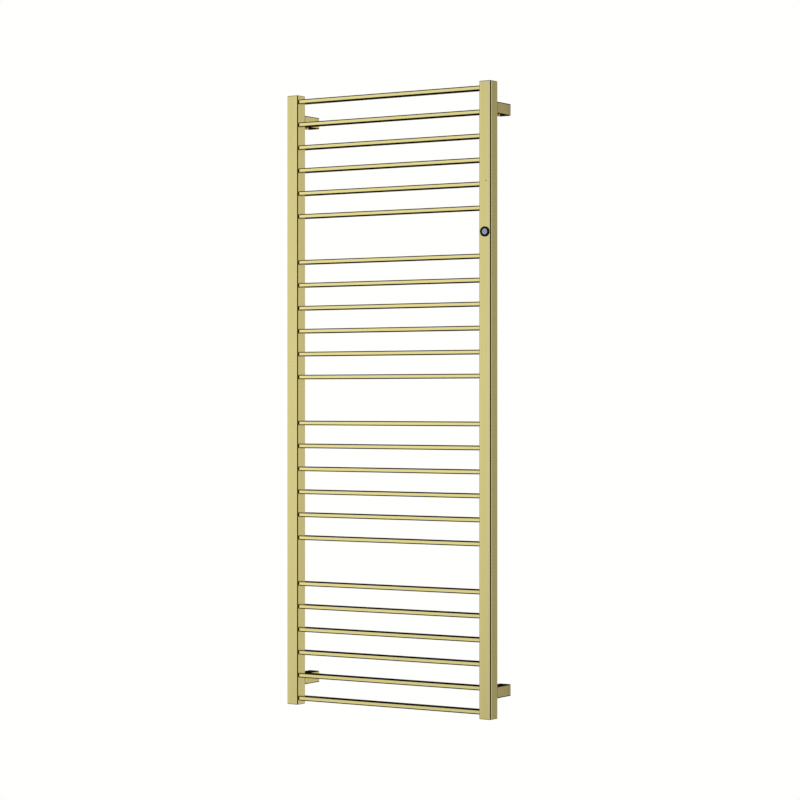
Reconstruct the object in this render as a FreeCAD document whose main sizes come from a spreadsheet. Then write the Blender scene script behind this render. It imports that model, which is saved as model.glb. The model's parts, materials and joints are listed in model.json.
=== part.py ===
# Wall-mounted electric towel warmer rack, in millimetres.
# The origin is the centre of the four wall screw holes, on the wall plane.
# +Z is up, -Y points into the room, and +X is to the right seen from the room.
import FreeCAD, Part
import math
import os
import re
import Sketcher
from FreeCAD import Placement, Rotation, Vector

DRIVING_SIZES = (
    # posts and their end caps
    ("rack_height", 1593, "height over the end caps"),
    ("projection", 100, "wall to the front of the posts"),
    ("post_axis_x", 292.5, "rack centre to post axis"),
    ("post_side", 35, "post outer side"),
    ("post_wall", 1.5, "post wall"),
    ("post_corner", 4, "post outer corner radius"),
    ("cap_plate", 3, "end cap plate thickness"),
    ("cap_round", 1.5, "end cap rim radius"),
    ("cap_plug", 6, "end cap plug depth"),
    ("cap_play", 0.2, "gap between cap plug and post"),
    # bars
    ("bar_pitch", 60, "bar spacing"),
    ("bar_height", 12, "bar height"),
    ("bar_depth", 25, "bar depth, front to back"),
    ("bar_corner", 3, "bar outer corner radius"),
    ("bar_wall", 1.2, "bar wall"),
    ("bar_setback", 5, "post front to bar front"),
    ("bar_entry", 8, "bar length inside each post"),
    ("bar_play", 0.1, "gap round a bar in the post wall"),
    # wall brackets
    ("bracket_level", 731.5, "rack centre to bracket axis"),
    ("bracket_corner", 3, "bracket corner radius"),
    ("fixing_offset", 6.5, "bracket axis to its screw and bolt, towards the rack centre"),
    ("sleeve_width", 33, "bracket sleeve along X"),
    ("sleeve_height", 30, "bracket sleeve height"),
    ("sleeve_wall", 1.5, "bracket sleeve wall"),
    ("sleeve_plate", 3, "bracket sleeve end plate"),
    ("base_depth", 11.5, "wall stub base, along the wall screw"),
    ("base_gap", 0.5, "gap between sleeve and base"),
    ("stub_width", 29.4, "wall stub along X"),
    ("stub_height", 26.4, "wall stub height"),
    ("stub_wall", 3, "wall stub wall"),
    ("stub_length", 50, "wall stub length"),
    ("wall_hole", 5.5, "wall screw hole"),
    ("bolt_diameter", 6, "bracket bolt"),
    ("bolt_head", 10, "bracket bolt head diameter"),
    ("bolt_head_depth", 3.3, "bracket bolt head height"),
    ("bolt_length", 14, "bracket bolt shank"),
    ("bolt_nut_flats", 10, "bracket nut across flats"),
    ("bolt_nut_depth", 5, "bracket nut height"),
    ("lock_diameter", 5, "locking screw"),
    ("lock_head", 9, "locking screw head diameter"),
    ("lock_head_depth", 2.6, "locking screw head height"),
    ("lock_length", 6, "locking screw shank"),
    ("lock_distance", 35, "wall to locking screw"),
    ("hex_socket", 3, "socket of a screw head, across flats"),
    ("screw_play", 0.05, "radial gap round a screw thread"),
    # cable entry
    ("cable_offset", 5.5, "bracket axis to cable entry, away from the rack centre"),
    ("cable_hole", 8, "cable hole in the bracket and the post"),
    ("grommet_flange", 9.2, "cable grommet flange diameter"),
    ("grommet_lip", 1.2, "cable grommet flange thickness"),
    ("grommet_bore", 5.5, "cable grommet bore"),
    # push button switch
    ("button_level", 420, "rack centre to push button"),
    ("bezel_diameter", 25.5, "switch bezel diameter"),
    ("bezel_depth", 2.2, "switch bezel thickness"),
    ("bezel_round", 0.7, "switch bezel edge radius"),
    ("gasket_depth", 0.8, "switch gasket thickness"),
    ("gasket_diameter", 24, "switch gasket diameter"),
    ("barrel_diameter", 19, "switch barrel diameter"),
    ("barrel_play", 0.1, "radial gap round the barrel"),
    ("barrel_reach", 14, "post front to barrel end"),
    ("button_well", 16, "barrel bore round the button"),
    ("well_depth", 10, "bezel face to the spring seat"),
    ("seat_depth", 3, "spring seat thickness"),
    ("stem_hole", 6.6, "hole in the spring seat"),
    ("snap_bore", 9, "bore behind the spring seat"),
    ("button_diameter", 15.4, "button head diameter"),
    ("button_head", 3.5, "button head thickness"),
    ("button_recess", 1.2, "bezel face to button face"),
    ("button_round", 0.5, "button edge radius"),
    ("stem_diameter", 6, "button stem diameter"),
    ("snap_diameter", 8, "button stem snap end diameter"),
    ("snap_length", 2.6, "button stem snap end length"),
    ("snap_play", 0.1, "spring seat to snap end at rest"),
    ("spring_diameter", 11, "button spring mean diameter"),
    ("spring_wire", 0.7, "button spring wire"),
    ("spring_coils", 3, "button spring coils"),
    ("nut_flats", 23, "switch nut across flats"),
    ("nut_depth", 3, "switch nut thickness"),
    ("contact_diameter", 17, "switch contact block diameter"),
    ("contact_depth", 8, "switch contact block depth"),
    ("pin_side", 1.2, "switch pin side"),
    ("pin_spread", 4, "switch axis to each pin"),
    # indicator lamp
    ("lamp_level", 547, "rack centre to indicator lamp"),
    ("lamp_offset", 3.8, "post axis to indicator lamp"),
    ("lamp_diameter", 3, "indicator lamp lens diameter"),
    ("lamp_flange", 4.2, "indicator lamp body diameter"),
    ("lamp_depth", 5, "post front to lamp back"),
    # control board and its carrier
    ("carrier_bottom", 368, "rack centre to carrier bottom"),
    ("carrier_length", 104, "carrier length"),
    ("carrier_width", 28.5, "carrier width"),
    ("carrier_depth", 8, "carrier depth"),
    ("carrier_floor", 1.8, "carrier floor thickness"),
    ("carrier_wall", 1.2, "carrier side wall"),
    ("carrier_gap", 0.2, "gap between carrier and post"),
    ("standoff_height", 2.9, "carrier floor to board"),
    ("standoff_diameter", 4, "board standoff diameter"),
    ("board_width", 25, "control board width"),
    ("board_length", 98, "control board length"),
    ("board_thickness", 1.6, "control board thickness"),
    ("terminal_width", 24, "board terminal width"),
    ("terminal_depth", 22, "board terminal depth"),
    ("terminal_height", 12, "board terminal height"),
    ("terminal_spread", 29, "button axis to board terminal centre"),
    ("relay_length", 16, "relay along X"),
    ("relay_depth", 14, "relay depth"),
    ("relay_height", 10, "relay height"),
    ("capacitor_diameter", 6, "capacitor diameter"),
    ("capacitor_depth", 8, "capacitor depth"),
    ("regulator_length", 10, "regulator along X"),
    ("regulator_depth", 4, "regulator depth"),
    ("regulator_height", 5, "regulator height"),
    ("controller_side", 7, "controller chip side"),
    ("controller_depth", 1.2, "controller chip thickness"),
    ("component_gap", 2, "gap between board pieces"),
    ("cutout_length", 16, "thermal cut-out along X"),
    ("cutout_height", 9, "thermal cut-out height"),
    ("cutout_depth", 4.5, "thermal cut-out thickness"),
    # wiring
    ("heater_diameter", 5, "heating cable diameter"),
    ("heater_bend", 15, "heating cable bend radius"),
    ("heater_reach", 7.5, "post axis to the heating cable's far side"),
    ("heater_end", 262, "rack centre to the heating cable's sealed end"),
    ("lead_diameter", 5, "supply lead diameter"),
    ("lead_offset", 9.3, "post axis to supply lead, across"),
    ("lead_setback", 24, "post front to supply lead"),
    ("supply_bottom", -769, "rack centre to supply terminal bottom"),
    ("supply_height", 18, "supply terminal height"),
    ("supply_width", 25, "supply terminal width"),
    ("supply_depth", 17, "supply terminal depth"),
    ("earth_level", -690, "rack centre to earth stud"),
    ("earth_diameter", 4, "earth stud diameter"),
    ("earth_length", 9, "earth stud length"),
    ("earth_nut_flats", 7, "earth nut across flats"),
    ("earth_nut_depth", 3.2, "earth nut height"),
)

BARS_IN_GROUP = 6
BAR_GROUPS = 4
LEFT, RIGHT = -1, 1
TOP, BOTTOM = 1, -1
SIDE_NAMES = {LEFT: "left", RIGHT: "right"}
LEVEL_NAMES = {TOP: "top", BOTTOM: "bottom"}

doc = FreeCAD.newDocument("TowelWarmer")
sheet = doc.addObject("Spreadsheet::Sheet", "Sizes")
for row, (alias, amount, note) in enumerate(DRIVING_SIZES, 1):
    sheet.set(f"A{row}", alias)
    sheet.set(f"B{row}", str(amount))
    sheet.set(f"C{row}", note)
    sheet.setAlias(f"B{row}", alias)
doc.recompute()

# Gives the value of a formula, to draw a sketch near its solved shape.
calculator = doc.addObject("App::FeaturePython", "Calculator")
calculator.addProperty("App::PropertyFloat", "result")

ALIASES = {alias for alias, amount, note in DRIVING_SIZES}

# Distances in each part's own frame, written as formulas of the sheet's cells.
POST_AXIS_Y = "(post_side / 2 - projection)"
POST_BACK_Y = "(post_side - projection)"
BAR_Y = "(bar_setback + bar_depth / 2 - projection)"
BAR_HALF = "(post_axis_x - post_side / 2 + bar_entry)"
CAVITY = "(post_side - 2 * post_wall)"
SLEEVE_LENGTH = "(projection - post_side - base_depth - base_gap)"
FIXING_LEVEL = "(bracket_level - fixing_offset)"
CABLE_LEVEL = "(bracket_level + cable_offset)"
BOARD_FRONT_Y = (
    "(post_side - projection - post_wall - carrier_gap - carrier_floor - standoff_height - board_thickness)"
)

made = []


def sheet_formula(text):
    """The formula with every cell name written as the sheet's own."""
    return re.sub(r"[a-z_]+", lambda word: "Sizes." * (word.group() in ALIASES) + word.group(), text)


def number(text):
    calculator.setExpression("result", sheet_formula(text))
    calculator.recompute()
    return calculator.result


def bind(thing, prop, text):
    thing.setExpression(prop, sheet_formula(text))


def place(thing, x="0", y="0", z="0", turn=None):
    if turn:
        thing.Placement = Placement(Vector(), turn)
    for axis, text in (("x", x), ("y", y), ("z", z)):
        bind(thing, f"Placement.Base.{axis}", text)


def deliver(thing, label):
    """Marks an object as a sub-part to write out."""
    thing.Label = label
    made.append(thing)
    return thing


# Sketches and bodies


def new_body(label):
    return deliver(doc.addObject("PartDesign::Body", label), label)


def new_sketch(body, plane, name, offset=None, shift=()):
    """A sketch on an origin plane of the body, raised by offset and moved in its plane by shift."""
    sketch = body.newObject("Sketcher::SketchObject", name)
    support = next(item for item in body.Origin.OriginFeatures if item.Role == plane)
    sketch.AttachmentSupport = [(support, "")]
    sketch.MapMode = "FlatFace"
    if offset:
        bind(sketch, "AttachmentOffset.Base.z", offset)
    for axis, text in zip("xy", shift):
        bind(sketch, f"AttachmentOffset.Base.{axis}", text)
    return sketch


def dimension(sketch, kind, geometry, text):
    index = sketch.addConstraint(Sketcher.Constraint(kind, *geometry, number(text)))
    bind(sketch, f"Constraints[{index}]", text)


def locate(sketch, element, point, across, along):
    """Ties a point to the sketch origin: on an axis where the distance is zero."""
    for kind, text, axis in (("DistanceX", across, -2), ("DistanceY", along, -1)):
        if text == "0":
            sketch.addConstraint(Sketcher.Constraint("PointOnObject", element, point, axis))
        else:
            dimension(sketch, kind, (-1, 1, element, point), text)


def draw_circle(sketch, diameter, across="0", along="0"):
    middle = Vector(number(across), number(along), 0)
    circle = sketch.addGeometry(Part.Circle(middle, Vector(0, 0, 1), number(diameter) / 2), False)
    dimension(sketch, "Diameter", (circle,), diameter)
    locate(sketch, circle, 3, across, along)


def draw_rounded_box(sketch, across, along, corner):
    """A rectangle round the sketch origin, with its four corners as tangent arcs."""
    first = sketch.GeometryCount
    radius = number(corner)
    x = number(across) / 2
    y = number(along) / 2
    flat_x = x - radius
    flat_y = y - radius
    ends = (
        ((-flat_x, -y), (flat_x, -y)),
        ((x, -flat_y), (x, flat_y)),
        ((flat_x, y), (-flat_x, y)),
        ((-x, flat_y), (-x, -flat_y)),
    )
    for start, end in ends:
        sketch.addGeometry(Part.LineSegment(Vector(*start, 0), Vector(*end, 0)), False)
    for turn, (side, end) in enumerate(((1, -1), (1, 1), (-1, 1), (-1, -1))):
        arc = Part.Circle(Vector(side * flat_x, end * flat_y, 0), Vector(0, 0, 1), radius)
        start = math.radians(90 * turn - 90)
        sketch.addGeometry(Part.ArcOfCircle(arc, start, start + math.pi / 2), False)
    for turn in range(4):
        line = first + turn
        arc = first + 4 + turn
        following = first + (turn + 1) % 4
        direction = "Vertical" if turn % 2 else "Horizontal"
        sketch.addConstraint(Sketcher.Constraint("Tangent", line, 2, arc, 1))
        sketch.addConstraint(Sketcher.Constraint("Tangent", arc, 2, following, 1))
        sketch.addConstraint(Sketcher.Constraint(direction, line))
        if turn:
            sketch.addConstraint(Sketcher.Constraint("Equal", first + 4, arc))
    sketch.addConstraint(Sketcher.Constraint("Symmetric", first + 4, 3, first + 6, 3, -1, 1))
    dimension(sketch, "Radius", (first + 4,), corner)
    dimension(sketch, "DistanceX", (first + 3, 1, first + 1, 1), across)
    dimension(sketch, "DistanceY", (first, 1, first + 2, 1), along)


def draw_rounded_square(sketch, side, corner):
    draw_rounded_box(sketch, side, side, corner)


def pad(body, sketch, length, backwards=False):
    feature = body.newObject("PartDesign::Pad", f"{sketch.Name}_pad")
    feature.Profile = sketch
    feature.Reversed = backwards
    bind(feature, "Length", length)
    return feature


def pocket(body, sketch, length, backwards=False):
    feature = body.newObject("PartDesign::Pocket", f"{sketch.Name}_pocket")
    feature.Profile = sketch
    feature.Reversed = backwards
    bind(feature, "Length", length)
    return feature


def turned_body(label, outline):
    """A body turned about its own Y axis, from (radius, distance along Y) corners."""
    body = new_body(label)
    sketch = new_sketch(body, "XY_Plane", f"{label}_outline")
    corners = [Vector(number(radius), number(along), 0) for radius, along in outline]
    for start, end in zip(corners, corners[1:] + corners[:1]):
        sketch.addGeometry(Part.LineSegment(start, end), False)
    for index, (radius, along) in enumerate(outline):
        before = (index - 1) % len(outline)
        sketch.addConstraint(Sketcher.Constraint("Coincident", before, 2, index, 1))
        locate(sketch, index, 1, radius, along)
    turning = body.newObject("PartDesign::Revolution", f"{label}_turning")
    turning.Profile = sketch
    turning.ReferenceAxis = (sketch, ["V_Axis"])
    turning.Angle = 360
    doc.recompute()
    return body, turning


def round_edge(body, feature, radius, diameter, along):
    """Fillets the circular edge of the given diameter at the given distance along Y."""
    edges = [
        f"Edge{index}"
        for index, edge in enumerate(feature.Shape.Edges, 1)
        if isinstance(edge.Curve, Part.Circle)
        and abs(edge.Curve.Radius - number(diameter) / 2) < 1e-6
        and abs(edge.Curve.Center.y - number(along)) < 1e-6
    ]
    fillet = body.newObject("PartDesign::Fillet", f"{body.Name}_edge_{len(body.Group)}")
    fillet.Base = (feature, edges)
    bind(fillet, "Radius", radius)
    doc.recompute()
    return fillet


def round_rim(body, feature, radius):
    """Fillets the edges that lie in the body's own XY plane."""
    edges = [
        f"Edge{index}"
        for index, edge in enumerate(feature.Shape.Edges, 1)
        if all(abs(vertex.Point.z) < 1e-6 for vertex in edge.Vertexes)
    ]
    fillet = body.newObject("PartDesign::Fillet", f"{body.Name}_rim")
    fillet.Base = (feature, edges)
    bind(fillet, "Radius", radius)
    doc.recompute()


# Part primitives


def block(name, length, width, height, x, y, z):
    """A box from its sides along X, Y and Z and its lowest corner."""
    box = doc.addObject("Part::Box", name)
    bind(box, "Length", length)
    bind(box, "Width", width)
    bind(box, "Height", height)
    place(box, x, y, z)
    return box


def rod(name, diameter, length, x, y, z, turn=None):
    """A cylinder from the middle of its first face, along +Z unless turned."""
    cylinder = doc.addObject("Part::Cylinder", name)
    bind(cylinder, "Radius", f"({diameter}) / 2")
    bind(cylinder, "Height", length)
    place(cylinder, x, y, z, turn)
    return cylinder


def hexagon(name, across_flats, length, x, y, z, turn=None):
    prism = doc.addObject("Part::Prism", name)
    prism.Polygon = 6
    bind(prism, "Circumradius", f"({across_flats}) / sqrt(3)")
    bind(prism, "Height", length)
    place(prism, x, y, z, turn)
    return prism


def cut(name, base, tool):
    feature = doc.addObject("Part::Cut", name)
    feature.Base = base
    feature.Tool = tool
    return feature


def fuse(name, *pieces):
    feature = doc.addObject("Part::MultiFuse", name)
    feature.Shapes = list(pieces)
    return feature


def gather(name, *pieces):
    """Separate solids kept in one sub-part."""
    feature = doc.addObject("Part::Compound", name)
    feature.Links = list(pieces)
    return deliver(feature, name)


def repeat(label, pattern, spots):
    """One solid at each spot, as separate solids of one sub-part."""
    doc.recompute()
    copies = []
    for spot in spots:
        copy = pattern.Shape.copy()
        copy.translate(spot)
        copies.append(copy)
    feature = doc.addObject("Part::Feature", label)
    feature.Shape = Part.makeCompound(copies)
    feature.Placement = Placement()
    return deliver(feature, label)


TOWARDS_WALL = Rotation(Vector(1, 0, 0), -90)
TOWARDS_ROOM = Rotation(Vector(1, 0, 0), 90)


def bar_slots():
    """Counts the bars from the top in pitches, with one empty slot between groups."""
    return [group * (BARS_IN_GROUP + 1) + bar for group in range(BAR_GROUPS) for bar in range(BARS_IN_GROUP)]


MIDDLE_SLOT = (BAR_GROUPS * (BARS_IN_GROUP + 1) - 2) / 2


def bar_level(slot):
    return number("bar_pitch") * (MIDDLE_SLOT - slot)


# Posts and end caps


def make_post(side):
    """A square tube, with bar holes in its inner wall and bracket holes in its back wall."""
    name = SIDE_NAMES[side]
    body = new_body(f"{name}_post")
    section = new_sketch(body, "XY_Plane", f"{name}_section", "cap_plate - rack_height / 2")
    draw_rounded_square(section, "post_side", "post_corner")
    draw_rounded_square(section, CAVITY, "post_corner - post_wall")
    pad(body, section, "rack_height - 2 * cap_plate")

    lowest = (f"{BAR_Y} - {POST_AXIS_Y}", f"-bar_pitch * {MIDDLE_SLOT}")
    holes = new_sketch(body, "YZ_Plane", f"{name}_bar_hole", shift=lowest)
    draw_rounded_box(holes, "bar_depth + 2 * bar_play", "bar_height + 2 * bar_play", "bar_corner + bar_play")
    bar_hole = pocket(body, holes, "post_side", backwards=side == LEFT)
    grid = body.newObject("PartDesign::MultiTransform", f"{name}_bar_holes")
    grid.Originals = [bar_hole]
    steps = []
    for purpose, count, length in (
        ("group", BARS_IN_GROUP, f"bar_pitch * {BARS_IN_GROUP - 1}"),
        ("groups", BAR_GROUPS, f"bar_pitch * {(BAR_GROUPS - 1) * (BARS_IN_GROUP + 1)}"),
    ):
        step = body.newObject("PartDesign::LinearPattern", f"{name}_{purpose}")
        step.Direction = (holes, ["V_Axis"])
        step.Occurrences = count
        bind(step, "Length", length)
        steps.append(step)
    grid.Transformations = steps
    body.Tip = grid
    doc.recompute()

    back = new_sketch(body, "XZ_Plane", f"{name}_back_holes")
    for level in (TOP, BOTTOM):
        draw_circle(back, "bolt_diameter + 2 * screw_play", "0", f"{level} * {FIXING_LEVEL}")
    if side == RIGHT:
        draw_circle(back, "cable_hole", "0", f"-{CABLE_LEVEL}")
    pocket(body, back, "post_side")

    if side == RIGHT:
        front = new_sketch(body, "XZ_Plane", "front_holes")
        draw_circle(front, "barrel_diameter + 2 * barrel_play", "0", "button_level")
        draw_circle(front, "lamp_diameter", "lamp_offset", "lamp_level")
        pocket(body, front, "post_side", backwards=True)
    place(body, f"{side} * post_axis_x", POST_AXIS_Y)


def make_cap(side, level):
    """A plate as large as the post with a rounded rim, and a hollow plug under it."""
    name = f"{SIDE_NAMES[side]}_{LEVEL_NAMES[level]}_cap"
    body = new_body(name)
    plate = new_sketch(body, "XY_Plane", f"{name}_plate")
    draw_rounded_square(plate, "post_side", "post_corner")
    plate_pad = pad(body, plate, "cap_plate", backwards=True)
    doc.recompute()
    round_rim(body, plate_pad, "cap_round")
    plug = new_sketch(body, "XY_Plane", f"{name}_plug", "-cap_plate")
    draw_rounded_square(plug, f"{CAVITY} - 2 * cap_play", "post_corner - post_wall")
    draw_rounded_square(plug, f"{CAVITY} - 2 * cap_play - 2 * post_wall", "post_corner - post_wall")
    pad(body, plug, "cap_plug", backwards=True)
    turn = Rotation(Vector(1, 0, 0), 0 if level == TOP else 180)
    place(body, f"{side} * post_axis_x", POST_AXIS_Y, f"{level} * rack_height / 2", turn)


# Bars


def make_bar(count, slot):
    """A flat tube with rounded corners that passes through the inner wall of both posts."""
    name = f"bar_{count:02d}"
    body = new_body(name)
    section = new_sketch(body, "YZ_Plane", f"{name}_section", f"-{BAR_HALF}")
    draw_rounded_box(section, "bar_depth", "bar_height", "bar_corner")
    inner_depth = "bar_depth - 2 * bar_wall"
    draw_rounded_box(section, inner_depth, "bar_height - 2 * bar_wall", "bar_corner - bar_wall")
    pad(body, section, f"2 * {BAR_HALF}")
    place(body, "0", BAR_Y, f"bar_pitch * {MIDDLE_SLOT - slot}")


# Wall brackets


def make_sleeve(side, level):
    """The square block behind a post, open towards the wall and bolted to the post's back."""
    has_cable = (side, level) == (RIGHT, BOTTOM)
    name = f"{LEVEL_NAMES[level]}_{SIDE_NAMES[side]}_bracket_sleeve"
    body = new_body(name)
    plate = new_sketch(body, "XZ_Plane", f"{name}_plate")
    draw_rounded_box(plate, "sleeve_width", "sleeve_height", "bracket_corner")
    draw_circle(plate, "bolt_diameter + 2 * screw_play", "0", f"-{level} * fixing_offset")
    if has_cable:
        draw_circle(plate, "cable_hole", "0", "-cable_offset")
    pad(body, plate, "sleeve_plate", backwards=True)
    tube = new_sketch(body, "XZ_Plane", f"{name}_tube", "-sleeve_plate")
    draw_rounded_box(tube, "sleeve_width", "sleeve_height", "bracket_corner")
    inner_width = "sleeve_width - 2 * sleeve_wall"
    draw_rounded_box(tube, inner_width, "sleeve_height - 2 * sleeve_wall", "bracket_corner - sleeve_wall")
    pad(body, tube, f"{SLEEVE_LENGTH} - sleeve_plate", backwards=True)
    lock = new_sketch(body, "XY_Plane", f"{name}_lock_hole")
    draw_circle(lock, "lock_diameter + 0.4", "0", f"-lock_distance - {POST_BACK_Y}")
    pocket(body, lock, "sleeve_height")
    place(body, f"{side} * post_axis_x", POST_BACK_Y, f"{level} * bracket_level")


def make_stub(side, level):
    """A base screwed to the wall, with a smaller tube on it that slides into the sleeve."""
    has_cable = (side, level) == (RIGHT, BOTTOM)
    name = f"{LEVEL_NAMES[level]}_{SIDE_NAMES[side]}_wall_stub"
    body = new_body(name)
    base = new_sketch(body, "XZ_Plane", f"{name}_base")
    draw_rounded_box(base, "sleeve_width", "sleeve_height", "bracket_corner")
    draw_circle(base, "wall_hole", "0", f"-{level} * fixing_offset")
    if has_cable:
        draw_circle(base, "cable_hole", "0", "-cable_offset")
    pad(body, base, "base_depth")
    tube = new_sketch(body, "XZ_Plane", f"{name}_tube", "base_depth")
    draw_rounded_box(tube, "stub_width", "stub_height", "bracket_corner / 2")
    draw_rounded_box(tube, "stub_width - 2 * stub_wall", "stub_height - 2 * stub_wall", "bracket_corner / 2")
    pad(body, tube, "stub_length - base_depth")
    lock = new_sketch(body, "XY_Plane", f"{name}_lock_hole")
    draw_circle(lock, "lock_diameter + 2 * screw_play", "0", "-lock_distance")
    pocket(body, lock, "stub_height")
    place(body, f"{side} * post_axis_x", "0", f"{level} * bracket_level")


def make_bracket_fixings():
    """Bolts and nuts between sleeve and post, and the screws that lock the stubs."""
    seat = f"{POST_BACK_Y} + sleeve_plate"
    head = rod("bolt_head_disc", "bolt_head", "bolt_head_depth", "0", seat, "0", TOWARDS_WALL)
    socket_y = f"{seat} + bolt_head_depth / 3"
    socket = hexagon("bolt_socket", "hex_socket", "bolt_head_depth", "0", socket_y, "0", TOWARDS_WALL)
    shank = rod("bolt_shank", "bolt_diameter", "bolt_length", "0", seat, "0", TOWARDS_ROOM)
    bolt = fuse("bolt", cut("bolt_head_cut", head, socket), shank)

    nut_y = f"{POST_BACK_Y} - post_wall"
    nut_outside = hexagon("nut_outside", "bolt_nut_flats", "bolt_nut_depth", "0", nut_y, "0", TOWARDS_ROOM)
    nut_inside = rod(
        "nut_inside", "bolt_diameter + 2 * screw_play", "bolt_nut_depth", "0", nut_y, "0", TOWARDS_ROOM
    )
    nut = cut("nut", nut_outside, nut_inside)

    head_z = "-sleeve_height / 2 - lock_head_depth"
    lock_disc = rod("lock_disc", "lock_head", "lock_head_depth", "0", "-lock_distance", head_z)
    lock_socket = hexagon("lock_socket", "hex_socket", "lock_head_depth / 2", "0", "-lock_distance", head_z)
    shank_z = "-sleeve_height / 2"
    lock_shank = rod("lock_shank", "lock_diameter", "lock_length", "0", "-lock_distance", shank_z)
    lock = fuse("lock", cut("lock_head_cut", lock_disc, lock_socket), lock_shank)

    x = number("post_axis_x")
    fixing = number(FIXING_LEVEL)
    level = number("bracket_level")
    fixing_spots = [Vector(side * x, 0, end * fixing) for end in (TOP, BOTTOM) for side in (LEFT, RIGHT)]
    level_spots = [Vector(side * x, 0, end * level) for end in (TOP, BOTTOM) for side in (LEFT, RIGHT)]
    repeat("bracket_bolts", bolt, fixing_spots)
    repeat("post_nuts", nut, fixing_spots)
    repeat("locking_screws", lock, level_spots)


def make_cable_grommet():
    """Rubber bush in the cable hole of the bottom right stub, flanged at its inner end."""
    outline = (
        ("grommet_bore / 2", "0"),
        ("cable_hole / 2", "0"),
        ("cable_hole / 2", "-base_depth"),
        ("grommet_flange / 2", "-base_depth"),
        ("grommet_flange / 2", "-base_depth - grommet_lip"),
        ("grommet_bore / 2", "-base_depth - grommet_lip"),
    )
    body, turning = turned_body("cable_grommet", outline)
    place(body, "post_axis_x", "0", f"-{CABLE_LEVEL}")


# Push button switch, with its axis along Y and its origin on the post's front face


def make_switch():
    face = "-gasket_depth - bezel_depth"
    housing_outline = (
        ("button_well / 2", face),
        ("bezel_diameter / 2", face),
        ("bezel_diameter / 2", "-gasket_depth"),
        ("barrel_diameter / 2", "-gasket_depth"),
        ("barrel_diameter / 2", "barrel_reach"),
        ("snap_bore / 2", "barrel_reach"),
        ("snap_bore / 2", f"{face} + well_depth + seat_depth"),
        ("stem_hole / 2", f"{face} + well_depth + seat_depth"),
        ("stem_hole / 2", f"{face} + well_depth"),
        ("button_well / 2", f"{face} + well_depth"),
    )
    housing, turning = turned_body("switch_housing", housing_outline)
    outer_edge = round_edge(housing, turning, "bezel_round", "bezel_diameter", face)
    round_edge(housing, outer_edge, "bezel_round / 2", "button_well", face)

    snap_start = f"{face} + well_depth + seat_depth + snap_play"
    button_face = f"{face} + button_recess"
    button_outline = (
        ("0", button_face),
        ("button_diameter / 2", button_face),
        ("button_diameter / 2", f"{button_face} + button_head"),
        ("stem_diameter / 2", f"{button_face} + button_head"),
        ("stem_diameter / 2", snap_start),
        ("snap_diameter / 2", snap_start),
        ("snap_diameter / 2", f"{snap_start} + snap_length"),
        ("0", f"{snap_start} + snap_length"),
    )
    button, turning = turned_body("button_cap", button_outline)
    round_edge(button, turning, "button_round", "button_diameter", button_face)

    gasket_outline = (
        ("barrel_diameter / 2 + barrel_play", "-gasket_depth"),
        ("gasket_diameter / 2", "-gasket_depth"),
        ("gasket_diameter / 2", "0"),
        ("barrel_diameter / 2 + barrel_play", "0"),
    )
    gasket, turning = turned_body("switch_gasket", gasket_outline)
    for body in (housing, button, gasket):
        place(body, "post_axis_x", "-projection", "button_level")
    make_switch_nut()
    make_switch_spring(f"{button_face} + button_head", f"{face} + well_depth")
    make_switch_contacts()


def make_switch_nut():
    nut_y = "-projection + post_wall"
    place_at = ("post_axis_x", nut_y, "button_level", TOWARDS_WALL)
    outside = hexagon("switch_nut_outside", "nut_flats", "nut_depth", *place_at)
    inside = rod("switch_nut_inside", "barrel_diameter + 2 * screw_play", "nut_depth", *place_at)
    deliver(cut("switch_nut", outside, inside), "switch_nut")


def make_switch_spring(front, back):
    """The coil between the button head and the spring seat, of wire with an octagonal section."""
    coil = doc.addObject("Part::Helix", "spring_coil")
    coil_length = f"({back}) - ({front}) - 2 * spring_wire"
    bind(coil, "Height", coil_length)
    bind(coil, "Pitch", f"({coil_length}) / spring_coils")
    bind(coil, "Radius", "spring_diameter / 2")
    wire = doc.addObject("Part::RegularPolygon", "spring_wire_section")
    wire.Polygon = 8
    bind(wire, "Circumradius", "spring_wire / 2")
    place(wire, "spring_diameter / 2", "0", "0", TOWARDS_ROOM)
    sweep = doc.addObject("Part::Sweep", "button_spring")
    sweep.Sections = [wire]
    sweep.Spine = (coil, [])
    sweep.Solid = True
    sweep.Frenet = True
    place(sweep, "post_axis_x", f"-projection + {front} + spring_wire", "button_level", TOWARDS_WALL)
    deliver(sweep, "button_spring")


def make_switch_contacts():
    """The contact block behind the barrel, and its two pins to the control board."""
    start = "-projection + barrel_reach"
    disc = rod(
        "contact_disc", "contact_diameter", "contact_depth",
        "post_axis_x", start, "button_level", TOWARDS_WALL,
    )
    pins = []
    for side in (LEFT, RIGHT):
        pin = block(
            f"contact_pin_{SIDE_NAMES[side]}",
            "pin_side",
            f"{BOARD_FRONT_Y} - ({start}) - contact_depth / 2",
            "pin_side",
            f"post_axis_x + {side} * pin_spread - pin_side / 2",
            f"{start} + contact_depth / 2",
            "button_level - pin_side / 2",
        )
        pins.append(pin)
    deliver(fuse("switch_contacts", disc, *pins), "switch_contacts")


def make_lamp():
    """The indicator lamp: a lens flush with the post's front, on a wider body behind the wall."""
    spot = ("post_axis_x + lamp_offset", "-projection", "lamp_level")
    lens = rod("lamp_lens", "lamp_diameter", "lamp_depth", *spot, TOWARDS_WALL)
    spot_behind = ("post_axis_x + lamp_offset", "-projection + post_wall", "lamp_level")
    body = rod("lamp_body", "lamp_flange", "lamp_depth - post_wall", *spot_behind, TOWARDS_WALL)
    deliver(fuse("indicator_lamp", lens, body), "indicator_lamp")


# Control board, in the right post behind the switch


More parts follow.
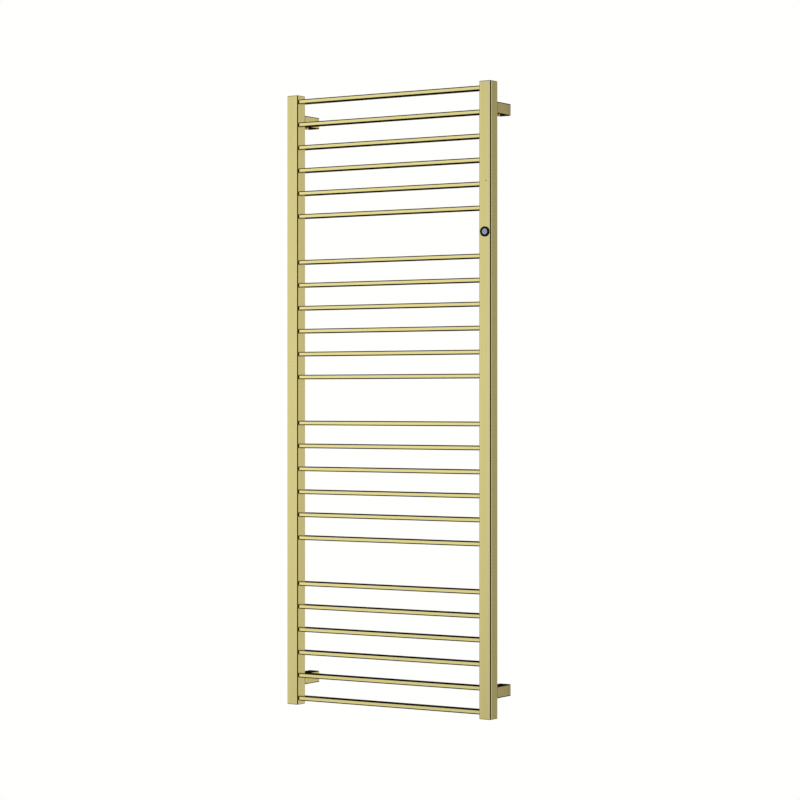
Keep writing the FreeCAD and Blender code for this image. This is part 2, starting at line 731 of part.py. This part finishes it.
def make_carrier():
    """A channel on the post's back wall, with standoffs that hold the board."""
    back = f"{POST_BACK_Y} - post_wall - carrier_gap"
    left = "post_axis_x - carrier_width / 2"
    outside = block(
        "carrier_outside", "carrier_width", "carrier_depth", "carrier_length",
        left, f"{back} - carrier_depth", "carrier_bottom",
    )
    inside_width = "carrier_width - 2 * carrier_wall"
    inside = block(
        "carrier_inside", inside_width, "carrier_depth - carrier_floor", "carrier_length",
        f"{left} + carrier_wall", f"{back} - carrier_depth", "carrier_bottom",
    )
    channel = cut("carrier_channel", outside, inside)
    standoffs = []
    for count, share in enumerate((0.08, 0.92), 1):
        for side in (LEFT, RIGHT):
            standoff = rod(
                f"standoff_{SIDE_NAMES[side]}_{count}",
                "standoff_diameter", "standoff_height + carrier_floor / 2",
                f"post_axis_x + {side} * board_width / 3", f"{back} - carrier_floor / 2",
                f"carrier_bottom + carrier_length * {share}", TOWARDS_ROOM,
            )
            standoffs.append(standoff)
    deliver(fuse("board_carrier", channel, *standoffs), "board_carrier")


def make_board():
    bottom = "carrier_bottom + (carrier_length - board_length) / 2"
    left = "post_axis_x - board_width / 2"
    board = block(
        "control_board", "board_width", "board_thickness", "board_length",
        left, BOARD_FRONT_Y, bottom,
    )
    deliver(board, "control_board")

    terminals = []
    for name, side in (("lower", -1), ("upper", 1)):
        terminal = block(
            f"{name}_terminal", "terminal_width", "terminal_depth", "terminal_height",
            "post_axis_x - terminal_width / 2", f"{BOARD_FRONT_Y} - terminal_depth",
            f"button_level + {side} * terminal_spread - terminal_height / 2",
        )
        terminals.append(terminal)
    gather("board_terminals", *terminals)

    left = "(post_axis_x - board_width / 2 + 1)"
    lower_terminal_bottom = "(button_level - terminal_spread - terminal_height / 2)"
    upper_terminal_bottom = "(button_level + terminal_spread - terminal_height / 2)"
    below_switch = "(button_level - contact_diameter / 2 - controller_side - component_gap)"
    relay = block(
        "relay", "relay_length", "relay_depth", "relay_height",
        left, f"{BOARD_FRONT_Y} - relay_depth", f"{upper_terminal_bottom} + terminal_height + component_gap",
    )
    capacitor = rod(
        "capacitor", "capacitor_diameter", "capacitor_depth",
        f"{left} + capacitor_diameter", BOARD_FRONT_Y,
        f"{lower_terminal_bottom} - component_gap - capacitor_diameter / 2", TOWARDS_ROOM,
    )
    regulator = block(
        "regulator", "regulator_length", "regulator_depth", "regulator_height",
        left, f"{BOARD_FRONT_Y} - regulator_depth", below_switch,
    )
    controller = block(
        "controller", "controller_side", "controller_depth", "controller_side",
        f"{left} + regulator_length + component_gap", f"{BOARD_FRONT_Y} - controller_depth", below_switch,
    )
    gather("board_components", relay, capacitor, regulator, controller)

    cutout = block(
        "thermal_cutout", "cutout_length", "cutout_depth", "cutout_height",
        left, f"{BOARD_FRONT_Y} - cutout_depth", f"{upper_terminal_bottom} - component_gap - cutout_height",
    )
    deliver(cutout, "thermal_cutout")


# Wiring


def tube_along(label, route, diameter):
    """A round cable along straight runs and tangent quarter turns.

    route holds the straight runs as (start, end); each gap between two runs is a quarter turn.
    """
    edges = []
    for index, (start, end) in enumerate(route):
        edges.append(Part.LineSegment(start, end).toShape())
        if index + 1 < len(route):
            following = route[index + 1]
            leave = (end - start).normalize()
            enter = (following[1] - following[0]).normalize()
            radius = (following[0] - end).dot(leave)
            middle = end + enter * radius
            halfway = middle + (leave - enter) * (radius / math.sqrt(2))
            edges.append(Part.Arc(end, halfway, following[0]).toShape())
    path = Part.Wire(edges)
    start, end = route[0]
    section = Part.Wire([Part.makeCircle(diameter / 2, start, end - start)])
    tube = path.makePipeShell([section], True, False)
    expected = path.Length * math.pi * diameter**2 / 4
    share = tube.Volume / expected
    print(f"{label}: {path.Length:.1f} mm long, volume {share:.4f} of its section times its length")
    feature = doc.addObject("Part::Feature", label)
    feature.Shape = tube
    feature.Placement = Placement()
    return deliver(feature, label)


def heater_route(slots, terminal_level):
    """From the board terminal through the bars in turn, to a sealed end inside the last bar."""
    bend = number("heater_bend")
    far = number("post_axis_x") + number("heater_reach")
    depth = number(BAR_Y)
    near = far - bend

    def point(x, z):
        return Vector(x, depth, z)

    travel = math.copysign(1, bar_level(slots[0]) - terminal_level)
    route = [(point(far, terminal_level), point(far, bar_level(slots[0]) - travel * bend))]
    side = RIGHT
    for count, slot in enumerate(slots):
        level = bar_level(slot)
        if count == len(slots) - 1:
            end = -side * number("heater_end")
            route.append((point(side * near, level), point(end, level)))
            break
        route.append((point(side * near, level), point(-side * near, level)))
        side = -side
        travel = math.copysign(1, bar_level(slots[count + 1]) - level)
        following = bar_level(slots[count + 1]) - travel * bend
        route.append((point(side * far, level + travel * bend), point(side * far, following)))
    return route


def make_wiring():
    slots = bar_slots()
    diameter = number("heater_diameter")
    lower_start = number("button_level - terminal_spread - terminal_height / 2")
    upper_start = number("button_level + terminal_spread + terminal_height / 2")
    upper_slots = slots[:BARS_IN_GROUP][::-1]
    tube_along("upper_heating_cable", heater_route(upper_slots, upper_start), diameter)
    tube_along("lower_heating_cable", heater_route(slots[BARS_IN_GROUP:], lower_start), diameter)

    lead_x = "post_axis_x + lead_offset"
    lead_y = "lead_setback - projection"
    top_of_supply = "supply_bottom + supply_height"
    lead_length = f"button_level - terminal_spread - terminal_height / 2 - ({top_of_supply})"
    deliver(rod("supply_lead", "lead_diameter", lead_length, lead_x, lead_y, top_of_supply), "supply_lead")
    supply_terminal = block(
        "supply_terminal", "supply_width", "supply_depth", "supply_height",
        "post_axis_x - supply_width / 2", f"{POST_BACK_Y} - post_wall - supply_depth", "supply_bottom",
    )
    deliver(supply_terminal, "supply_terminal")

    spot = ("post_axis_x - lead_offset", f"{POST_BACK_Y} - post_wall", "earth_level", TOWARDS_ROOM)
    stud = rod("earth_pin", "earth_diameter", "earth_length", *spot)
    nut_spot = (spot[0], f"{spot[1]} - earth_length / 2", *spot[2:])
    nut_outside = hexagon("earth_nut_outside", "earth_nut_flats", "earth_nut_depth", *nut_spot)
    nut_inside = rod("earth_nut_inside", "earth_diameter + 2 * screw_play", "earth_nut_depth", *nut_spot)
    gather("earth_stud", stud, cut("earth_nut", nut_outside, nut_inside))


def write_steps():
    """Checks every object and sub-part, then writes one file for each sub-part."""
    doc.recompute()
    failed = [thing.Name for thing in doc.Objects if {"Invalid", "Error"} & set(thing.State)]
    for thing in made:
        if thing.Shape.isNull() or not thing.Shape.isValid() or not thing.Shape.Solids:
            failed.append(thing.Label)
    if failed:
        raise RuntimeError(f"failed objects: {failed}")
    os.makedirs("parts", exist_ok=True)
    for thing in made:
        thing.Shape.exportStep(f"parts/{thing.Label}.step")
    print(f"{len(made)} sub-parts, {sum(len(thing.Shape.Solids) for thing in made)} solids")


for side in (LEFT, RIGHT):
    make_post(side)
    for level in (TOP, BOTTOM):
        make_cap(side, level)
        make_sleeve(side, level)
        make_stub(side, level)
for count, slot in enumerate(bar_slots(), 1):
    make_bar(count, slot)
make_bracket_fixings()
make_cable_grommet()
make_switch()
make_lamp()
make_carrier()
make_board()
make_wiring()
write_steps()
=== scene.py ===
# Looks of the wall-mounted towel warmer rack. Lengths are in metres, in the frame of the CAD model:
# +Z up, -Y out of the wall into the room, +X to the right seen from the room.
import json
import math

import bmesh
import bpy
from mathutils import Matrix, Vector


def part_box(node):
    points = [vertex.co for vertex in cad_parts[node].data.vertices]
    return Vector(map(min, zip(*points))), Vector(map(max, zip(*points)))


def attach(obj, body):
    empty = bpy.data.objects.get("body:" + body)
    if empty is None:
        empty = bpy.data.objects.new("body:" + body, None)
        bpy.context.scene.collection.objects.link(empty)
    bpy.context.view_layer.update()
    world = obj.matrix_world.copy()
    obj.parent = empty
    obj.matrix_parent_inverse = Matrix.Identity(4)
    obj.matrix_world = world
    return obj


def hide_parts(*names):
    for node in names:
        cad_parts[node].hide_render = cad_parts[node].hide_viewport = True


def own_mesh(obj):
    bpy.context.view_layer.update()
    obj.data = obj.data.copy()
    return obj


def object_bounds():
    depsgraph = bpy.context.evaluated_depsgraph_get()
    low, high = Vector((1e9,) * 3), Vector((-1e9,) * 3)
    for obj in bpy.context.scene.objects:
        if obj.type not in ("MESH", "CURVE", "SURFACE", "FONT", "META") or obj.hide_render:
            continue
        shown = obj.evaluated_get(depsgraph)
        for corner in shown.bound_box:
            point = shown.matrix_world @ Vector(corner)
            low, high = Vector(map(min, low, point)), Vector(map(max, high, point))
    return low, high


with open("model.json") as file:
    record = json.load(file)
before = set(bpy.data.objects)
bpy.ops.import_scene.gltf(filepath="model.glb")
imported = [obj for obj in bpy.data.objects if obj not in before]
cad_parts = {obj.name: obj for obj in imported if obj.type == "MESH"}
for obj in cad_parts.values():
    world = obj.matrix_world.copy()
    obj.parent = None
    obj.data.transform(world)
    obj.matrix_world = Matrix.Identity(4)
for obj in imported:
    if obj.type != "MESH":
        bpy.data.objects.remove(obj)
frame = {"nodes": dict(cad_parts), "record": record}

MM = 0.001


def corners(box):
    return [list(corner) for corner in box]


CAD_BOX = corners(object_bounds())


# Camera and picture


CAMERA_PLACE = (3.4999, -5.5054, 0.0)
CAMERA_TURN = 32.61
LENS_MM = 113.45
SENSOR_MM = 36


def make_camera():
    camera = bpy.data.cameras.new("camera")
    camera.lens = LENS_MM
    camera.sensor_width = SENSOR_MM
    camera.clip_end = 50
    viewer = bpy.data.objects.new("camera", camera)
    viewer.location = CAMERA_PLACE
    viewer.rotation_euler = (math.radians(90), 0, math.radians(CAMERA_TURN))
    bpy.context.scene.collection.objects.link(viewer)
    bpy.context.scene.camera = viewer


# Shader helpers


class Shader:
    """A node tree with short calls for the nodes that the materials and the world use."""

    def __init__(self, tree):
        self.tree = tree
        tree.nodes.clear()

    def node(self, kind, **settings):
        made = self.tree.nodes.new(kind)
        for name, value in settings.items():
            setattr(made, name, value)
        return made

    def set(self, socket, value):
        if isinstance(value, bpy.types.NodeSocket):
            self.tree.links.new(value, socket)
        else:
            socket.default_value = value

    def math(self, operation, first, second=0.0):
        made = self.node("ShaderNodeMath", operation=operation)
        self.set(made.inputs[0], first)
        self.set(made.inputs[1], second)
        return made.outputs[0]

    def vector_math(self, operation, first, second=(0, 0, 0)):
        made = self.node("ShaderNodeVectorMath", operation=operation)
        self.set(made.inputs[0], first)
        self.set(made.inputs[1], second)
        return made.outputs["Value" if operation == "DOT_PRODUCT" else "Vector"]

    def noise(self, place, scale, detail=2.0, roughness=0.5):
        made = self.node("ShaderNodeTexNoise")
        self.set(made.inputs["Vector"], place)
        made.inputs["Scale"].default_value = scale
        made.inputs["Detail"].default_value = detail
        made.inputs["Roughness"].default_value = roughness
        return made.outputs["Fac"]

    def spread(self, value, low, high, start=0.0, end=1.0, smooth=True):
        """Maps low..high to start..end."""
        made = self.node("ShaderNodeMapRange", interpolation_type="SMOOTHSTEP" if smooth else "LINEAR")
        names = ("Value", "From Min", "From Max", "To Min", "To Max")
        for name, setting in zip(names, (value, low, high, start, end)):
            self.set(made.inputs[name], setting)
        return made.outputs[0]

    def mix(self, factor, first, second, blend="MIX"):
        made = self.node("ShaderNodeMix", data_type="RGBA", blend_type=blend)
        self.set(made.inputs["Factor"], factor)
        self.set(made.inputs["A"], first)
        self.set(made.inputs["B"], second)
        return made.outputs["Result"]

    def bump(self, height, depth, strength=1.0):
        made = self.node("ShaderNodeBump")
        made.inputs["Strength"].default_value = strength
        made.inputs["Distance"].default_value = depth
        self.set(made.inputs["Height"], height)
        return made.outputs["Normal"]


def new_material(name):
    material = bpy.data.materials.new(name)
    material.use_nodes = True
    shader = Shader(material.node_tree)
    surface = shader.node("ShaderNodeBsdfPrincipled")
    output = shader.node("ShaderNodeOutputMaterial")
    shader.tree.links.new(surface.outputs["BSDF"], output.inputs["Surface"])
    place = shader.node("ShaderNodeTexCoord").outputs["Object"]
    return material, shader, surface.inputs, place


def color(red, green, blue):
    return (red, green, blue, 1.0)


# Metals


# How far the noise of a brushed finish is stretched along its grain.
GRAIN_SQUEEZE = 0.012
# The bars' gold is painted lighter than the posts' by this factor: a lit copy of the same gold, standing in
# for the brighter light on the bars.
BAR_PAINTED_LIGHT = 1.24
# The largest part of a surface's normal: below the first value it is all edge, above the second all flat.
EDGE_FACING = (0.92, 0.975)
# How strongly the near-black colour is mixed in on the rounded edges, where it is painted as a dark
# reflection line.
EDGE_PAINTED_SHADE = 0.94


def stretched(shader, place, grain):
    """The place, squeezed along the grain so that a noise there becomes long streaks."""
    scale = [1.0, 1.0, 1.0]
    scale["XYZ".index(grain)] = GRAIN_SQUEEZE
    return shader.vector_math("MULTIPLY", place, scale)


def find_edges(shader):
    """One on the middle of a rounded edge, where the surface faces none of the axes, and zero on a flat."""
    normal = shader.node("ShaderNodeTexCoord").outputs["Normal"]
    parts = shader.node("ShaderNodeSeparateXYZ")
    shader.set(parts.inputs[0], shader.vector_math("ABSOLUTE", normal))
    level = shader.math("MAXIMUM", parts.outputs["X"], parts.outputs["Y"])
    facing = shader.math("MAXIMUM", level, parts.outputs["Z"])
    return shader.spread(facing, *EDGE_FACING, 1.0, 0.0)


def brushed_gold(name, grain):
    """Satin gold lacquer over brushed steel, with dark reflection lines painted along the rounded edges. It
    is painted lighter on the bars, whose grain runs along X, to stand in for the brighter light they catch."""
    material, shader, surface, place = new_material(name)
    streaks = stretched(shader, place, grain)
    fine = shader.noise(streaks, 1600, 2)
    bands = shader.noise(streaks, 260, 3)
    clouds = shader.noise(place, 9, 4, 0.6)
    smudges = shader.spread(shader.noise(place, 38, 5, 0.65), 0.5, 0.75)
    # Painted light: the bars get a lighter copy of the posts' gold.
    painted_lift = BAR_PAINTED_LIGHT if grain == "X" else 1.0
    pale = color(0.700 * painted_lift, 0.625 * painted_lift, 0.280 * painted_lift)
    deep = color(0.610 * painted_lift, 0.545 * painted_lift, 0.222 * painted_lift)
    haze = color(0.66, 0.6, 0.285)
    # Near-black colour painted on the rounded edges as a dark reflection line.
    edge = color(0.05, 0.036, 0.008)
    tint = shader.mix(bands, deep, pale)
    tint = shader.mix(shader.math("MULTIPLY", clouds, 0.25), tint, haze)
    painted_edge_shade = shader.math("MULTIPLY", find_edges(shader), EDGE_PAINTED_SHADE)
    shader.set(surface["Base Color"], shader.mix(painted_edge_shade, tint, edge))
    surface["Metallic"].default_value = 1.0
    rough = shader.spread(fine, 0.3, 0.7, 0.10, 0.17, smooth=False)
    rough = shader.math("ADD", rough, shader.math("MULTIPLY", smudges, 0.05))
    shader.set(surface["Roughness"], rough)
    shader.set(surface["Normal"], shader.bump(fine, 0.00001, 0.25))
    return material


def plated_steel(name, tone=(0.62, 0.63, 0.65), rough=0.28):
    material, shader, surface, place = new_material(name)
    cloud = shader.noise(place, 300, 4, 0.6)
    dull = tuple(part * 0.8 for part in tone)
    shader.set(surface["Base Color"], shader.mix(cloud, color(*dull), color(*tone)))
    surface["Metallic"].default_value = 1.0
    shader.set(surface["Roughness"], shader.spread(cloud, 0.3, 0.7, rough, rough + 0.15))
    shader.set(surface["Normal"], shader.bump(shader.noise(place, 2500, 3), 0.00001, 0.5))
    return material


def satin_button(name):
    """Anodised aluminium, turned: its grain runs in rings round the button's axis."""
    material, shader, surface, place = new_material(name)
    low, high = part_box("button_cap")
    offset = shader.vector_math("SUBTRACT", place, tuple((low + high) / 2))
    flat = shader.vector_math("MULTIPLY", offset, (1, 0, 1))
    length = shader.node("ShaderNodeVectorMath", operation="LENGTH")
    shader.set(length.inputs[0], flat)
    ring = shader.node("ShaderNodeCombineXYZ")
    shader.set(ring.inputs[0], length.outputs["Value"])
    turned = shader.noise(ring.outputs[0], 6000, 3)
    cloud = shader.noise(place, 180, 3)
    shader.set(surface["Base Color"], shader.mix(cloud, color(0.31, 0.40, 0.54), color(0.41, 0.51, 0.65)))
    surface["Metallic"].default_value = 0.75
    shader.set(surface["Roughness"], shader.spread(turned, 0.3, 0.7, 0.32, 0.45))
    shader.set(surface["Normal"], shader.bump(turned, 0.00001, 0.6))
    return material


# Plastics, rubber and board


def moulded(name, dark, light, rough, grain=0.00002, scale=2200, specular=0.5):
    """Moulded plastic, paint or rubber: a fine stipple with soft blotches."""
    material, shader, surface, place = new_material(name)
    blotch = shader.noise(place, 60, 4, 0.6)
    shader.set(surface["Base Color"], shader.mix(blotch, color(*dark), color(*light)))
    shader.set(surface["Roughness"], shader.spread(blotch, 0.3, 0.7, rough, rough + 0.1))
    surface["Specular IOR Level"].default_value = specular
    shader.set(surface["Normal"], shader.bump(shader.noise(place, scale, 2), grain, 0.7))
    return material


def smoked_lens(name):
    material, shader, surface, place = new_material(name)
    depth = shader.noise(place, 900, 2)
    shader.set(surface["Base Color"], shader.mix(depth, color(0.03, 0.033, 0.015), color(0.05, 0.054, 0.028)))
    shader.set(surface["Roughness"], shader.spread(depth, 0.3, 0.7, 0.12, 0.2))
    surface["Coat Weight"].default_value = 0.3
    surface["Coat Roughness"].default_value = 0.05
    return material


def solder_mask(name):
    """Green lacquer over copper traces, which show as slightly lighter raised lines."""
    material, shader, surface, place = new_material(name)
    trace = shader.node("ShaderNodeTexVoronoi", feature="DISTANCE_TO_EDGE")
    shader.set(trace.inputs["Vector"], place)
    trace.inputs["Scale"].default_value = 260
    raised = shader.spread(trace.outputs["Distance"], 0.05, 0.12)
    shader.set(surface["Base Color"], shader.mix(raised, color(0.03, 0.15, 0.06), color(0.05, 0.24, 0.10)))
    shader.set(surface["Roughness"], shader.spread(shader.noise(place, 90, 3), 0.3, 0.7, 0.25, 0.4))
    shader.set(surface["Normal"], shader.bump(raised, 0.00003))
    return material


# The way the grain of a gold piece runs, by the end of its name. On the bars it runs along X.
GRAINS = {"_post": "Z", "_cap": "Z", "_sleeve": "Z", "_stub": "Y"}


def gold_grain(node):
    for ending, grain in GRAINS.items():
        if node.endswith(ending):
            return grain
    return "X"


def dress_nodes():
    gold = {grain: brushed_gold(f"gold_grain_{grain.lower()}", grain) for grain in "XYZ"}
    finishes = {
        "black_metal": moulded("black_metal", (0.002, 0.002, 0.003), (0.004, 0.004, 0.005), 0.3, 0.000008,
                               specular=0.08),
        "black_plastic": moulded("black_plastic", (0.02, 0.02, 0.02), (0.035, 0.035, 0.035), 0.5),
        "black_rubber": moulded("black_rubber", (0.015, 0.015, 0.015), (0.03, 0.03, 0.03), 0.65),
        "grey_plastic": moulded("grey_plastic", (0.38, 0.39, 0.4), (0.47, 0.48, 0.49), 0.45),
        "component_plastic": moulded("component_plastic", (0.04, 0.04, 0.045), (0.09, 0.09, 0.1), 0.4),
        "terminal_plastic": moulded("terminal_plastic", (0.66, 0.68, 0.66), (0.78, 0.8, 0.78), 0.3),
        "silicone_cable": moulded("silicone_cable", (0.4, 0.06, 0.04), (0.55, 0.1, 0.06), 0.55),
        "lead_sheath": moulded("lead_sheath", (0.62, 0.62, 0.6), (0.76, 0.76, 0.74), 0.5),
        "button_metal": satin_button("button_metal"),
        "lamp_lens": smoked_lens("lamp_lens"),
        "circuit_board": solder_mask("circuit_board"),
        "zinc_steel": plated_steel("zinc_steel"),
        "spring_steel": plated_steel("spring_steel", (0.7, 0.7, 0.72), 0.2),
    }
    screws = plated_steel("gold_screws", (0.68, 0.6, 0.28), 0.2)
    slots = {part["node"]: part["material_slot"] for part in frame["record"]["subparts"]}
    for name, piece in frame["nodes"].items():
        slot = slots[name]
        material = gold[gold_grain(name)] if slot == "gold_steel" else finishes[slot]
        if name == "locking_screws":
            material = screws
        piece.data.materials.clear()
        piece.data.materials.append(material)
    return finishes


# Sign on the button: a generic ring and stroke


def make_button_sign(material):
    """A thin printed ring with a gap at its top and a short stroke in the gap."""
    low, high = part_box("button_cap")
    middle = Vector(((low.x + high.x) / 2, low.y, (low.z + high.z) / 2))
    radius = 2.6 * MM
    width = 0.55 * MM
    proud = 0.05 * MM
    gap = math.radians(38)
    steps = 48
    mesh = bmesh.new()

    def add_strip(points):
        """A flat strip between pairs of inner and outer points, with its sides down to the button."""
        rows = []
        for inner, outer in points:
            rows.append([mesh.verts.new(middle + Vector((x, -depth, z)))
                         for x, z, depth in ((*inner, 0), (*inner, proud), (*outer, proud), (*outer, 0))])
        for before, after in zip(rows, rows[1:]):
            for edge in range(4):
                following = (edge + 1) % 4
                mesh.faces.new((before[edge], before[following], after[following], after[edge]))
        mesh.faces.new(rows[0][::-1])
        mesh.faces.new(rows[-1])

    ring = []
    for step in range(steps + 1):
        angle = math.pi / 2 + gap + (2 * math.pi - 2 * gap) * step / steps
        direction = (math.cos(angle), math.sin(angle))
        ring.append(tuple(
            tuple(part * (radius + side * width / 2) for part in direction) for side in (-1, 1)
        ))
    add_strip(ring)
    half = width / 2
    add_strip([((-half, height), (half, height)) for height in (0.4 * radius, 1.25 * radius)])
    bmesh.ops.recalc_face_normals(mesh, faces=mesh.faces)
    data = bpy.data.meshes.new("button_sign")
    mesh.to_mesh(data)
    mesh.free()
    data.materials.append(material)
    sign = bpy.data.objects.new("button_sign", data)
    bpy.context.scene.collection.objects.link(sign)
    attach(sign, "button")


# Spring under the button


SPRING_WIRE = 0.7 * MM
SPRING_COILS = 3


def make_button_spring(material):
    """The coil between the button's head and its seat."""
    low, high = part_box("button_spring")
    middle = (low + high) / 2
    half_wire = SPRING_WIRE / 2
    radius = (high.x - low.x) / 2 - half_wire
    front = low.y + half_wire
    length = high.y - low.y - SPRING_WIRE
    steps = 48 * SPRING_COILS
    sides = 12
    turns = [2 * math.pi * side / sides for side in range(sides)]
    mesh = bmesh.new()
    rings = []
    for step in range(steps + 1):
        angle = 2 * math.pi * SPRING_COILS * step / steps
        outwards = Vector((math.cos(angle), 0, -math.sin(angle)))
        centre = Vector((middle.x, front + length * step / steps, middle.z)) + radius * outwards
        along = Vector((-math.sin(angle), length / (2 * math.pi * SPRING_COILS * radius), -math.cos(angle)))
        across = along.normalized().cross(outwards)
        rings.append([
            mesh.verts.new(centre + half_wire * (math.cos(turn) * outwards + math.sin(turn) * across))
            for turn in turns
        ])
    for before, after in zip(rings, rings[1:]):
        for side in range(sides):
            following = (side + 1) % sides
            face = mesh.faces.new((before[side], before[following], after[following], after[side]))
            face.smooth = True
    mesh.faces.new(rings[0][::-1])
    mesh.faces.new(rings[-1])
    bmesh.ops.recalc_face_normals(mesh, faces=mesh.faces)
    data = bpy.data.meshes.new("button_coil")
    mesh.to_mesh(data)
    mesh.free()
    data.materials.append(material)
    coil = bpy.data.objects.new("button_coil", data)
    bpy.context.scene.collection.objects.link(coil)
    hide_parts("button_spring")
    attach(coil, "rack")
    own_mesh(coil)


# Floor and light


FLOOR_DROP = 0.25
FLOOR_SIZE = 6.0
FLOOR_GREY = color(0.3, 0.3, 0.3)
BACKGROUND = color(1.0, 1.0, 0.985)


def make_floor():
    low = CAD_BOX[0]
    bpy.ops.mesh.primitive_plane_add(size=FLOOR_SIZE, location=(0, 0, low[2] - FLOOR_DROP))
    floor = bpy.context.object
    floor.name = "floor"
    material = bpy.data.materials.new("floor")
    material.use_nodes = True
    shader = Shader(material.node_tree)
    pale = shader.node("ShaderNodeEmission")
    pale.inputs["Color"].default_value = BACKGROUND
    matt = shader.node("ShaderNodeBsdfDiffuse")
    matt.inputs["Color"].default_value = FLOOR_GREY
    seen = shader.node("ShaderNodeLightPath").outputs["Is Camera Ray"]
    blend = shader.node("ShaderNodeMixShader")
    shader.set(blend.inputs[0], seen)
    shader.set(blend.inputs[1], matt.outputs[0])
    shader.set(blend.inputs[2], pale.outputs[0])
    output = shader.node("ShaderNodeOutputMaterial")
    shader.set(output.inputs["Surface"], blend.outputs[0])
    floor.data.materials.append(material)
    floor.visible_glossy = False


# Directions are angles round the object in degrees, from the room (-Y) towards +X, and heights are angles
# above the floor. The camera stands at CAMERA_TURN. Each light has a name, a direction, a height, an inner
# and an outer edge, a squeeze, a brightness and a colour. A squeeze above one flattens the light, and one
# below makes it taller.
KEY_LIGHT = ("front left", -45, 3, 0, 38, 1.9, 1.03, (1.0, 0.995, 0.985))
FILL_LIGHT = ("right and back", 124, 0, 10, 33, 0.6, 1.16, (1.0, 0.95, 0.88))
SOFT_LIGHTS = (
    ("front", 8, 0, 8, 38, 1.0, 0.4, (1.0, 1.0, 1.0)),
    ("low front", 0, -40, 15, 36, 1.0, 0.5, (1.0, 1.0, 1.0)),
    ("high front", 0, 40, 15, 36, 1.0, 0.5, (1.0, 1.0, 1.0)),
    ("low front right", 50, -36, 12, 27, 1.0, 0.5, (1.0, 1.0, 1.0)),
    ("high front right", 50, 36, 12, 27, 1.0, 0.5, (1.0, 1.0, 1.0)),
    ("right", 88, 0, 14, 34, 1.0, 0.45, (1.0, 1.0, 1.0)),
    ("back", 180, 0, 14, 22, 1.0, 0.35, (1.0, 1.0, 1.0)),
    ("low back", 180, -40, 12, 34, 1.0, 0.5, (1.0, 1.0, 1.0)),
    ("high back", 180, 40, 12, 34, 1.0, 0.5, (1.0, 1.0, 1.0)),
    ("left", -95, 0, 14, 34, 1.0, 0.4, (1.0, 1.0, 1.0)),
)
AMBIENT = 0.34
# A dark flag stands beside the camera, and draws a thin line down the posts' corners: its direction,
# half-width along the floor, half-height and soft edge.
FLAG = (50, 38, 10, 3)
# Dark hoops hang round the X and Y axes, and draw lines along the edges of the bars and the brackets. Each
# has its axis, the part of the unit vector along that axis, its half-width and its soft edge.
HOOPS = (
    ((1, 0, 0), -0.539, 0.10, 0.02),
    ((0, 1, 0), 0.842, 0.08, 0.02),
)
FLAG_COLOR = color(0.008, 0.006, 0.004)


def aimed(angle, height=0.0):
    """The unit vector towards an angle round the object and a height above the floor."""
    turn = math.radians(angle)
    rise = math.radians(height)
    return (math.sin(turn) * math.cos(rise), -math.cos(turn) * math.cos(rise), math.sin(rise))


def cosine(angle):
    return math.cos(math.radians(angle))


def sine(angle):
    return math.sin(math.radians(angle))


def add_light(shader, direction, total, light):
    name, angle, height, inner, outer, squeeze, brightness, tint = light
    seen = direction
    if squeeze != 1.0:
        seen = shader.vector_math("NORMALIZE", shader.vector_math("MULTIPLY", direction, (1, 1, squeeze)))
    near = shader.vector_math("DOT_PRODUCT", seen, aimed(angle, height))
    lit = shader.spread(near, cosine(outer), cosine(inner), 0.0, brightness)
    return shader.mix(lit, total, color(*tint), "ADD")


def add_hoop(shader, direction, total, hoop):
    axis, along, half_width, edge = hoop
    away = shader.math("SUBTRACT", shader.vector_math("DOT_PRODUCT", direction, axis), along)
    off = shader.math("ABSOLUTE", away)
    inside = shader.spread(off, half_width - edge, half_width + edge, 1.0, 0.0)
    return shader.mix(inside, total, FLAG_COLOR)


def add_flag(shader, direction, total):
    angle, half_width, half_height, edge = FLAG
    level = shader.vector_math("NORMALIZE", shader.vector_math("MULTIPLY", direction, (1, 1, 0)))
    near = shader.vector_math("DOT_PRODUCT", level, aimed(angle))
    across = shader.spread(near, cosine(half_width + edge), cosine(half_width - edge))
    rise = shader.math("ABSOLUTE", shader.vector_math("DOT_PRODUCT", direction, (0, 0, 1)))
    up = shader.spread(rise, sine(half_height - edge / 2), sine(half_height + edge / 2), 1.0, 0.0)
    return shader.mix(shader.math("MULTIPLY", across, up), total, FLAG_COLOR)


def add_studio(shader, direction):
    total = color(AMBIENT, AMBIENT, AMBIENT)
    for light in SOFT_LIGHTS:
        total = add_light(shader, direction, total, light)
    for hoop in HOOPS:
        total = add_hoop(shader, direction, total, hoop)
    total = add_light(shader, direction, total, FILL_LIGHT)
    total = add_flag(shader, direction, total)
    return add_light(shader, direction, total, KEY_LIGHT)


def make_light():
    scene = bpy.context.scene
    scene.view_settings.view_transform = "Standard"
    world = bpy.data.worlds.new("studio")
    scene.world = world
    world.use_nodes = True
    shader = Shader(world.node_tree)
    direction = shader.node("ShaderNodeTexCoord").outputs["Generated"]
    studio = shader.node("ShaderNodeBackground")
    shader.set(studio.inputs["Color"], add_studio(shader, direction))
    backdrop = shader.node("ShaderNodeBackground")
    backdrop.inputs["Color"].default_value = BACKGROUND
    seen = shader.node("ShaderNodeLightPath").outputs["Is Camera Ray"]
    blend = shader.node("ShaderNodeMixShader")
    shader.set(blend.inputs[0], seen)
    shader.set(blend.inputs[1], studio.outputs[0])
    shader.set(blend.inputs[2], backdrop.outputs[0])
    output = shader.node("ShaderNodeOutputWorld")
    shader.set(output.inputs["Surface"], blend.outputs[0])


make_camera()
finishes = dress_nodes()
make_button_sign(finishes["black_metal"])
make_button_spring(finishes["spring_steel"])
make_floor()
make_light()
